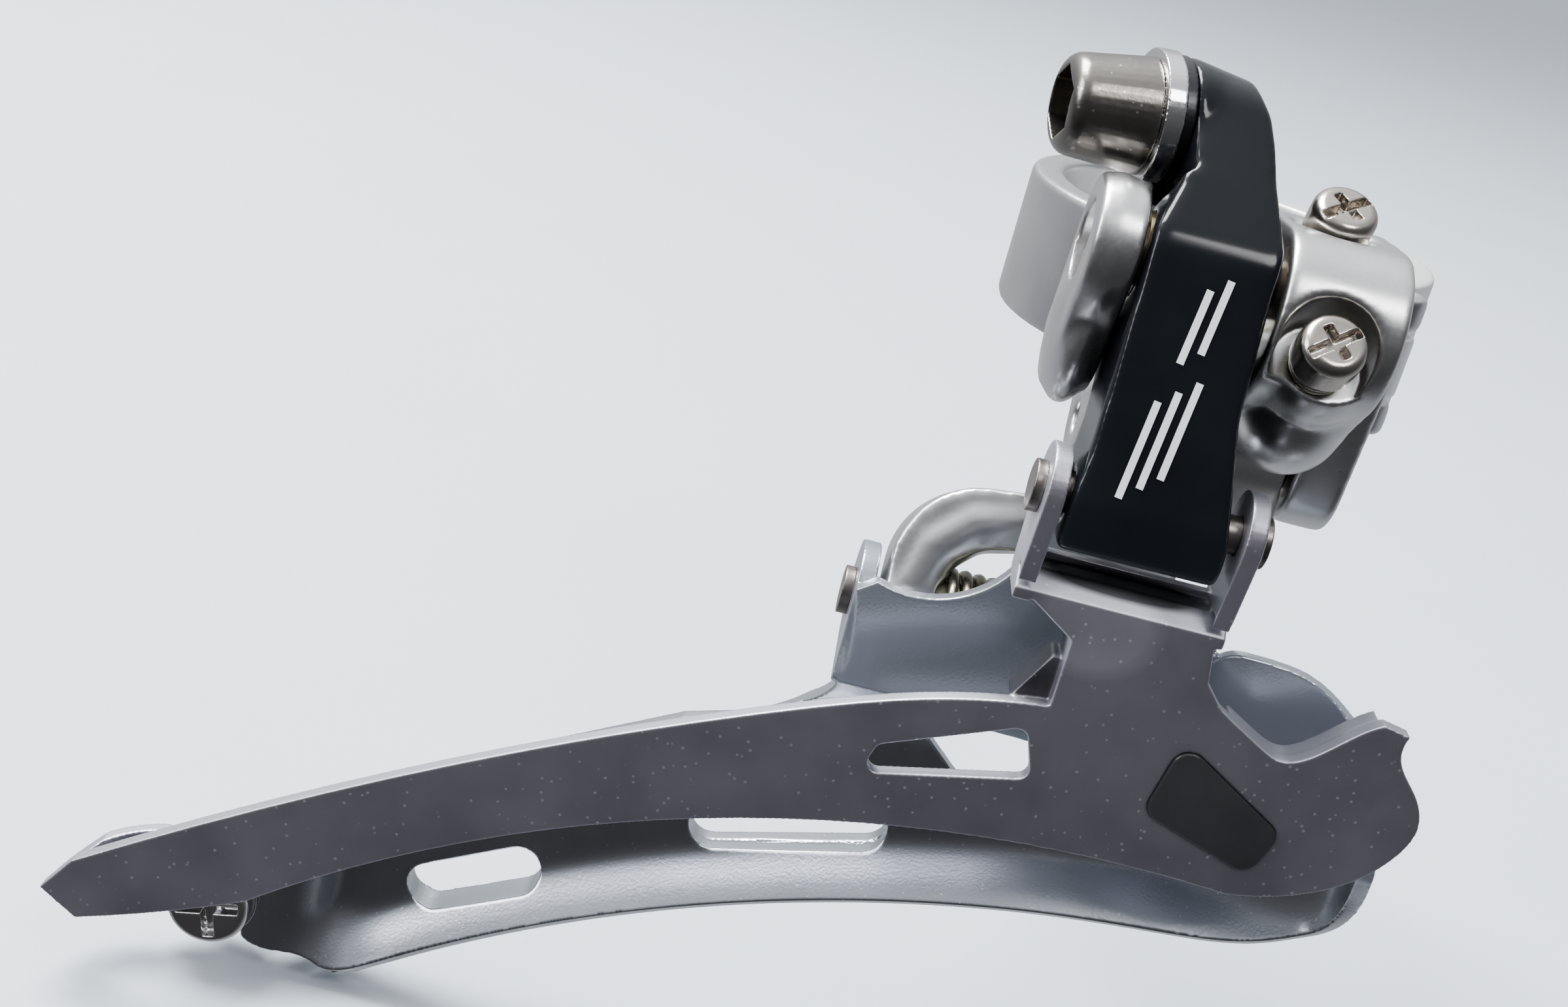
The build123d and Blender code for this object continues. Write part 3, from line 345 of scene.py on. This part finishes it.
def ellipsoid(centre, radii):
    """Lump that is blended into a forging."""
    bm = bmesh.new()
    bmesh.ops.create_uvsphere(bm, u_segments=32, v_segments=20, radius=1.0)
    place = Matrix.Translation(Vector(centre) * MM) @ Matrix.Diagonal((*[r * MM for r in radii], 1))
    bmesh.ops.transform(bm, matrix=place, verts=bm.verts)
    return from_bmesh("lump", bm)


def bar(start, end, radius):
    """Round bar between two points, in millimetres."""
    start, end = Vector(start), Vector(end)
    bm = bmesh.new()
    bmesh.ops.create_cone(bm, cap_ends=True, segments=BAR_SIDES, radius1=radius * MM,
                          radius2=radius * MM, depth=(end - start).length * MM)
    turn = (end - start).to_track_quat("Z", "Y").to_matrix().to_4x4()
    bmesh.ops.transform(bm, matrix=Matrix.Translation((start + end) / 2 * MM) @ turn, verts=bm.verts)
    return from_bmesh("bar", bm)


def prism(outline, y_from, y_to):
    """Closed block along Y over an outline of (x, z) points, in millimetres."""
    count = len(outline)
    verts = [(x, y, z) for y in (y_from, y_to) for x, z in outline]
    faces = [tuple(range(count)), tuple(range(2 * count - 1, count - 1, -1))]
    faces += [(k, k + count, (k + 1) % count + count, (k + 1) % count) for k in range(count)]
    obj = from_points("prism", verts, faces)
    bm = bmesh.new()
    bm.from_mesh(obj.data)
    bmesh.ops.recalc_face_normals(bm, faces=bm.faces)
    bm.to_mesh(obj.data)
    bm.free()
    return obj


def slot_cutter(at, span, tilt, width):
    """Round-ended block along Y; span is the distance between its end centres."""
    outline = []
    turn = radians(tilt)
    for end, start in ((1, -90), (-1, 90)):
        for k in range(ARC_POINTS):
            angle = radians(start + 180 / (ARC_POINTS - 1) * k)
            u, v = end * span / 2 + cos(angle) * width / 2, sin(angle) * width / 2
            outline.append((at[0] + u * cos(turn) - v * sin(turn), at[1] + u * sin(turn) + v * cos(turn)))
    return prism(outline, *SLOT_DEPTH)


def helix(name, centre, axis, radius, wire, length, turns):
    """Coil of round wire about an axis, in millimetres."""
    axis = Vector(axis).normalized()
    one = axis.orthogonal().normalized()
    two = axis.cross(one)
    count = int(turns * COIL_STEPS)
    verts, faces = [], []
    for i in range(count + 1):
        part = i / count
        angle = 2 * pi * turns * part
        out = cos(angle) * one + sin(angle) * two
        middle = Vector(centre) + radius * out + axis * (part - 0.5) * (length - 2 * wire)
        for k in range(COIL_SIDES):
            turn = 2 * pi * k / COIL_SIDES
            verts.append(middle + wire * (cos(turn) * out + sin(turn) * axis))
    for i in range(count):
        for k in range(COIL_SIDES):
            a, b = i * COIL_SIDES + k, i * COIL_SIDES + (k + 1) % COIL_SIDES
            faces.append((a, b, b + COIL_SIDES, a + COIL_SIDES))
    faces.append(tuple(range(COIL_SIDES - 1, -1, -1)))
    faces.append(tuple(count * COIL_SIDES + k for k in range(COIL_SIDES)))
    obj = from_points(name, verts, faces)
    for face in obj.data.polygons:
        face.use_smooth = True
    return obj


def carve(obj, cutter):
    step = obj.modifiers.new("cut", "BOOLEAN")
    step.operation = "DIFFERENCE"
    step.solver = "EXACT"
    step.object = cutter
    bake(obj)
    bpy.data.objects.remove(cutter)


def fuse(name, pieces, voxel, rounds, keep=1.0):
    """Joins overlapping closed pieces into one skin with rounded edges and soft blends."""
    bm = bmesh.new()
    for piece in pieces:
        piece.data.transform(piece.matrix_world)
        bm.from_mesh(piece.data)
        bpy.data.objects.remove(piece)
    bmesh.ops.triangulate(bm, faces=bm.faces)
    obj = from_bmesh(name, bm)
    soften(obj, voxel, rounds, keep)
    return bake(obj)


def own(obj, body, key, slot, *nodes):
    """Places a piece of this script: its body, its material, and the CAD nodes that it stands for."""
    dress(obj, key)
    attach(obj, body)
    if nodes:
        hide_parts(*nodes)


# ------------------------------------------------------------------ inner cage plate
# The CAD plate, with its rolled edge from the tail to the nose drawn as one bent sheet.
BLADE_CENTRE = (13.6, -173.5)
BLADE_RADIUS = 126.6
BLADE_SHEET = 1.3
# outboard face of the rolled edge: Y, and height above the plate's lower edge
ROLL = [(-38.6, 0.75), (-37.75, 1.8), (-36.85, 2.85), (-36.0, 3.9), (-35.36, 4.9), (-35.12, 6.0),
        (-35.08, 7.2), (-35.06, 8.2), (-35.05, 9.2), (-35.05, 10.2)]
HIDDEN_ABOVE = 9          # points of ROLL above this height lie behind the outer plate
TONGUE_FACE = -38.5       # outboard face of the tongue under the tail screw
NOSE_START = 4.4          # the CAD plate is cut away forward of this
# the slots: centre, span and tilt
SLOTS = [((-51.6, -58.6), 8.0, 27.5), ((-26.8, -46.5), 12.8, 15.5)]
SLOT_WIDTH = 3.9
SLOT_DEPTH = (-42, -30)
# at the tail: distance along X, swing outboard, lower and upper edge
TAIL = [(-69.8, 1.0, -67.9, -60.8), (-68.6, 1.0, -68.5, -60.8), (-67.2, 1.0, -68.6, -60.6),
        (-65.9, 0.92, -68.5, -60.2), (-64.9, 0.66, -68.7, -59.8), (-63.9, 0.3, -69.2, -59.2),
        (-62.6, 0.06, -70.0, -58.4)]
# along the blade: distance along X, and how far the uppermost points are raised
BLADE = [(-60, 2.8), (-56, 2.2), (-52, 1.2)] + [(-48 + 4 * k, 0.0) for k in range(12)]
NOSE = [
    # each from the rolled edge's five points, foot of the wall, wall and fold, up to the top edge
    [(1.0, -38.6, -46.8), (1.0, -37.75, -45.7), (1.0, -36.85, -44.7), (1.0, -36.0, -43.6),
     (1.0, -35.36, -42.6), (1.0, -35.12, -41.5), (1.0, -35.06, -38.6), (1.0, -35.2, -35.9),
     (1.0, -38.0, -31.4), (1.0, -38.1, -20.2)],
    [(4.5, -38.6, -46.5), (4.5, -37.75, -45.4), (4.5, -36.85, -44.4), (4.5, -36.0, -43.3),
     (4.5, -35.4, -42.3), (4.5, -35.2, -41.2), (4.5, -35.1, -38.5), (4.5, -35.3, -35.8),
     (4.5, -38.0, -31.4), (4.5, -38.1, -20.2)],
    [(9.0, -38.7, -46.1), (9.0, -37.8, -45.0), (9.0, -36.9, -43.9), (9.0, -36.1, -42.7),
     (9.0, -35.6, -41.5), (8.9, -35.4, -40.2), (8.8, -35.35, -38.0), (8.7, -35.6, -35.4),
     (8.6, -37.8, -31.2), (8.4, -38.1, -20.3)],
    [(13.0, -38.9, -45.2), (12.95, -38.0, -44.2), (12.9, -37.2, -43.0), (12.8, -36.6, -41.7),
     (12.7, -36.3, -40.3), (12.6, -36.15, -38.8), (12.4, -36.2, -36.6), (12.2, -36.5, -34.2),
     (11.9, -37.9, -30.6), (11.2, -38.3, -21.2)],
    [(16.2, -39.0, -43.5), (16.15, -38.5, -42.8), (16.1, -38.0, -41.9), (16.0, -37.6, -40.6),
     (15.8, -37.4, -39.2), (15.6, -37.3, -37.6), (15.4, -37.3, -35.4), (15.2, -37.5, -33.0),
     (14.8, -38.3, -29.6), (13.8, -38.9, -22.9)],
    [(18.5, -40.3, -41.4), (18.45, -39.9, -40.6), (18.4, -39.5, -39.7), (18.3, -39.2, -38.6),
     (18.1, -39.05, -37.4), (17.9, -39.0, -36.0), (17.7, -39.0, -34.2), (17.4, -39.1, -32.2),
     (16.9, -39.5, -29.0), (15.9, -39.9, -24.6)],
    [(19.1, -42.0, -38.2), (19.1, -41.9, -37.7), (19.05, -41.7, -37.0), (19.0, -41.6, -36.2),
     (18.9, -41.5, -35.2), (18.7, -41.4, -34.0), (18.4, -41.4, -32.6), (18.0, -41.4, -31.0),
     (17.4, -41.5, -28.4), (16.6, -41.6, -25.0)],
    [(18.2, -44.2, -34.4), (18.2, -44.2, -34.0), (18.2, -44.2, -33.6), (18.1, -44.2, -33.0),
     (18.0, -44.2, -32.2), (17.9, -44.2, -31.4), (17.7, -44.2, -30.4), (17.5, -44.2, -29.2),
     (17.0, -44.2, -27.4), (16.4, -44.2, -24.8)],
]


def tail_station(x, turn, low, high):
    """Section between two heights; turn swings it outboard into the tongue under the tail screw."""
    stretch = (high - low) / (ROLL[-1][1] - ROLL[0][1])
    return [(x, y + turn * (TONGUE_FACE - y), low + (height - ROLL[0][1]) * stretch)
            for y, height in ROLL]


def blade_station(x, raised):
    """Section of the rolled edge; raised lifts its uppermost points."""
    edge = BLADE_CENTRE[1] + (BLADE_RADIUS ** 2 - (x - BLADE_CENTRE[0]) ** 2) ** 0.5
    return [(x, y, edge + height + (raised if height > HIDDEN_ABOVE else 0)) for y, height in ROLL]


stations = [tail_station(*row) for row in TAIL] + [blade_station(*row) for row in BLADE] + NOSE
rolled = sheet_loft("rolled_edge", stations, BLADE_SHEET)
for at, span, tilt in SLOTS:
    carve(rolled, slot_cutter(at, span, tilt, SLOT_WIDTH))
plate_rest = copy_of("cage_inner_plate", "plate_rest")
cut_off(plate_rest, (NOSE_START, 0, 0), (1, 0, 0))
inner_plate = fuse("inner_cage_plate", [plate_rest, rolled], 0.13, 7, keep=0.4)
own(inner_plate, "cage", "inner", "plate_bright", "cage_inner_plate")

# ------------------------------------------------------------------ forged body
# The CAD solid with domed lumps, its edges blended, then the screw seats and the pin recess cut.
BODY_LUMPS = [((-16.0, -37.7, 7.8), (2.3, 5.4, 5.9)), ((-16.0, -36.4, 1.2), (2.3, 4.9, 6.0)),
              ((1.6, -38.4, 5.2), (4.9, 5.8, 6.6)), ((2.0, -32.0, 3.0), (5.4, 7.5, 7.4)),
              ((1.6, -35.0, -1.2), (4.6, 6.0, 5.0))]
SCREW_HOLE_RADIUS = 1.6
SEAT_DEPTH = 12
HOLE_DEPTH = 30


def outward(pitch):
    """Direction that leaves the body outboard and rises by an angle."""
    return Vector((0, -cos(radians(pitch)), sin(radians(pitch))))


seat_low, seat_high = Vector((0.8, -41.7, 3.9)), Vector((1.0, -32.6, 11.6))
out_low, out_high = outward(43), outward(58)
forged = fuse("forged_body", [copy_of("body", "body_rest")] + [ellipsoid(*lump) for lump in BODY_LUMPS],
              0.26, 24)
for seat, out, radius in ((seat_low, out_low, 3.6), (seat_high, out_high, 3.2)):
    carve(forged, bar(seat, seat + out * SEAT_DEPTH, radius))
for seat, out in ((seat_low, out_low), (seat_high, out_high)):
    carve(forged, bar(seat - out * HOLE_DEPTH, seat + out, SCREW_HOLE_RADIUS))
carve(forged, bar((-20, -37.7, 8.2), (-16.3, -37.7, 8.2), 3.1))
soften(forged, 0.17, 10, keep=0.4)
bake(forged)
own(forged, "body", "body", "body_metal", "body")

# ------------------------------------------------------------------ black arm and its mark
# what lies beyond the arm's rounded shoulder is cut off, as (x, z)
SHOULDER = [(-5.3, 15.6), (-5.75, 17.6), (-6.45, 19.6), (-7.6, 21.1), (-9.2, 22.3), (-10.7, 23.0),
            (-12.3, 23.3), (-12.3, 28.0), (0.0, 28.0), (0.0, 15.6)]
arm = fuse("arm", [copy_of("outer_link", "arm_rest")], 0.2, 16)
carve(arm, prism(SHOULDER, -60, -20))
soften(arm, 0.2, 34)
bake(arm)
own(arm, "outer_link", "arm", "arm_black", "outer_link")

# pale printed mark: five plain slanted strokes, as (across, rise) on the arm's flat front
FACE_LOW, FACE_HIGH = Vector((0, -48.14, -7.94)), Vector((0, -42.67, 9.74))
PRINT_LIFT = 0.06
INK_THICKNESS = 0.02
STROKE_WIDTH = 0.55
STROKES = [((-11.2, 0.6), (-10.2, 8.0)), ((-9.9, 1.6), (-8.9, 9.0)), ((-8.6, 2.6), (-7.6, 10.0)),
           ((-9.4, 11.0), (-8.6, 16.6)), ((-8.1, 12.0), (-7.3, 17.6))]


def arm_face(across, rise):
    """Point just proud of the arm's flat front: across is X, rise runs from the foot upwards."""
    way = (FACE_HIGH - FACE_LOW).normalized()
    return Vector((across, 0, 0)) + FACE_LOW + way * rise + Vector((0, -way.z, way.y)) * PRINT_LIFT


def printed_mark():
    verts, faces = [], []
    for start, end in STROKES:
        start, end = Vector(start), Vector(end)
        side = (end - start).normalized().orthogonal() * STROKE_WIDTH / 2
        first = len(verts)
        verts += [arm_face(*point) for point in (start + side, start - side, end + side, end - side)]
        faces.append((first, first + 1, first + 3, first + 2))
    obj = from_points("arm_mark", verts, faces)
    thick = obj.modifiers.new("ink", "SOLIDIFY")
    thick.thickness = INK_THICKNESS * MM
    thick.offset = 0.0
    return bake(obj)


# ------------------------------------------------------------------ arched inner link
ELBOW = [(-8.5, 9.3), (-14.0, 9.7), (-18.6, 10.8), (-21.4, 13.4), (-22.4, 17.0)]
ELBOW_RADIUS = 2.5
ELBOW_OUT = 1.3


def link_point(across, down):
    """Point just outboard of the inner link: down runs from its upper to its lower pivot."""
    return Vector((across, -25.6 - 0.377 * down - 0.926 * ELBOW_OUT,
                   -8.6 - 0.926 * down + 0.377 * ELBOW_OUT))


elbow = [bar(link_point(*a), link_point(*b), ELBOW_RADIUS) for a, b in zip(ELBOW, ELBOW[1:])]
elbow += [ellipsoid(link_point(*a), (ELBOW_RADIUS,) * 3) for a in ELBOW]
forged_link = fuse("forged_link", [copy_of("inner_link", "link_rest")] + elbow, 0.24, 30)
own(forged_link, "inner_link", "body", "body_metal", "inner_link")
own(printed_mark(), "outer_link", "ink", "arm_black")

# ------------------------------------------------------------------ springs as real coils
link_coil = helix("return_spring_coil", (-14.25, -32.6, -25.8), (1, 0, 0), 3.4, 0.55, 11.0, 8.5)
own(link_coil, "inner_link", "spring", "spring_steel", "return_spring")
low_coil = helix("screw_coil_low", seat_low + out_low * 0.85, out_low, 1.95, 0.3, 1.5, 2.2)
own(low_coil, "body", "spring", "spring_steel", "limit_screw_springs")
high_coil = helix("screw_coil_high", seat_high + out_high * 0.5, out_high, 1.95, 0.25, 0.8, 1.2)
own(high_coil, "body", "spring", "spring_steel")

# ------------------------------------------------------------------ softer edges on CAD pieces
soften(NODES["clamp_band"], 0.22, 14, keep=0.5)
soften(NODES["cage_outer_plate"], 0.13, 5, keep=0.4)
soften(NODES["chain_pad"], 0.12, 6, keep=0.5)
for name in ("anchor_bolt", "anchor_washer", "cable_plate", "limit_screw_low", "limit_screw_high",
             "outer_lower_pin", "inner_lower_pin", "tail_screw", "tail_washer", "clamp_bolt"):
    soften(NODES[name], 0.09, 4, keep=0.5)

# ------------------------------------------------------------------ camera
CAMERA_AT = (-37.64, -185.0, 37.05)
CAMERA_TURN = -1.384
CAMERA_RISE = 20.474
CAMERA_ROLL = 14.835
cam_data = bpy.data.cameras.new("camera")
cam_data.sensor_width = 36.0
cam_data.lens = 46.094
cam_data.clip_start = 0.005
cam = bpy.data.objects.new("camera", cam_data)
bpy.context.scene.collection.objects.link(cam)
turn, rise, roll = radians(CAMERA_TURN), radians(CAMERA_RISE), radians(CAMERA_ROLL)
back = Vector((sin(turn) * cos(rise), -cos(turn) * cos(rise), sin(rise)))
level = Vector((cos(turn), sin(turn), 0))
rising = back.cross(level)
right = cos(roll) * level + sin(roll) * rising
up = -sin(roll) * level + cos(roll) * rising
cam.matrix_world = Matrix((
    (right.x, up.x, back.x, CAMERA_AT[0] * MM),
    (right.y, up.y, back.y, CAMERA_AT[1] * MM),
    (right.z, up.z, back.z, CAMERA_AT[2] * MM),
    (0, 0, 0, 1)))
bpy.context.scene.camera = cam

# ------------------------------------------------------------------ floor
FLOOR_GAP = 0.0005
FLOOR_SIZE = 6.0
bm = bmesh.new()
bmesh.ops.create_grid(bm, x_segments=1, y_segments=1, size=FLOOR_SIZE)
floor = from_bmesh("floor", bm)
floor.location = (0, 0, cad_box[0][2] - FLOOR_GAP)
paper, paper_shader = new_material("paper")
paper_shader.inputs["Roughness"].default_value = 0.9
paper_shader.inputs["Specular IOR Level"].default_value = 0.1
grain = noise_tex(paper.node_tree, millimetres(paper.node_tree), 0.02, 3.0)
paper_colour = ramp(paper.node_tree, grain, [(0.3, (0.55, 0.60, 0.66)), (0.7, (0.565, 0.615, 0.675))])
paper.node_tree.links.new(paper_colour, paper_shader.inputs["Base Color"])
floor.data.materials.append(paper)
floor.visible_glossy = False

# ------------------------------------------------------------------ room
# Dark on the side of the viewer and bright above, so that flat metal reads dark with bright edges.
ROOM_STRENGTH = 0.9
BACKDROP = (0.62, 0.65, 0.69, 1)
PAPER_SIDE = [(0.0, (0.66, 0.69, 0.73)), (0.35, (0.45, 0.47, 0.51)), (0.55, (0.12, 0.125, 0.135)),
              (0.75, (0.035, 0.035, 0.038)), (1.0, (0.03, 0.03, 0.033))]
TOP_SIDE = [(0.0, (0.04, 0.04, 0.043)), (0.20, (0.07, 0.07, 0.075)), (0.50, (0.15, 0.15, 0.16)),
            (0.62, (0.26, 0.27, 0.29)), (0.72, (0.72, 0.75, 0.79)), (0.84, (0.95, 0.98, 1.02)),
            (0.93, (1.7, 1.75, 1.8)), (1.0, (2.0, 2.05, 2.1))]
world = bpy.data.worlds.new("studio")
bpy.context.scene.world = world
world.use_nodes = True
tree = world.node_tree
tree.nodes.clear()
coord = add_node(tree, "ShaderNodeTexCoord")


def world_glow(direction, stops):
    """Radiance that depends on the angle from a direction."""
    dot = add_node(tree, "ShaderNodeVectorMath", operation="DOT_PRODUCT")
    dot.inputs[1].default_value = Vector(direction).normalized()
    tree.links.new(coord.outputs["Generated"], dot.inputs[0])
    return ramp(tree, map_range(tree, dot.outputs["Value"], 0, 1, -1, 1), stops)


brighter = add_node(tree, "ShaderNodeMix", data_type="RGBA", blend_type="LIGHTEN")
brighter.inputs[0].default_value = 1.0
tree.links.new(world_glow(back, PAPER_SIDE), brighter.inputs[6])
tree.links.new(world_glow(up, TOP_SIDE), brighter.inputs[7])
glow = add_node(tree, "ShaderNodeBackground")
tree.links.new(brighter.outputs[2], glow.inputs[0])
glow.inputs[1].default_value = ROOM_STRENGTH
plain = add_node(tree, "ShaderNodeBackground")
plain.inputs[0].default_value = BACKDROP
path = add_node(tree, "ShaderNodeLightPath")
either = add_node(tree, "ShaderNodeMixShader")
tree.links.new(path.outputs["Is Camera Ray"], either.inputs[0])
tree.links.new(glow.outputs[0], either.inputs[1])
tree.links.new(plain.outputs[0], either.inputs[2])
out = add_node(tree, "ShaderNodeOutputWorld")
tree.links.new(either.outputs[0], out.inputs[0])

# ------------------------------------------------------------------ lights
# name: place, aim, size and watts
LIGHTS = {
    "key": ((-0.42, 0.20, 0.85), (-0.03, -0.03, -0.03), (0.60, 0.45), 36.0),
    "side": ((-0.50, -0.20, 0.25), (-0.03, -0.03, -0.03), (0.20, 0.30), 2.0),
    "front": ((0.20, -0.40, 0.50), (-0.02, -0.04, -0.02), (0.20, 0.16), 1.4),
}
for name, (place, aim, spread, watts) in LIGHTS.items():
    data = bpy.data.lights.new(name, "AREA")
    data.shape = "RECTANGLE"
    data.size, data.size_y = spread
    data.energy = watts
    lamp = bpy.data.objects.new(name, data)
    lamp.location = place
    lamp.rotation_euler = (Vector(aim) - Vector(place)).to_track_quat("-Z", "Y").to_euler()
    bpy.context.scene.collection.objects.link(lamp)
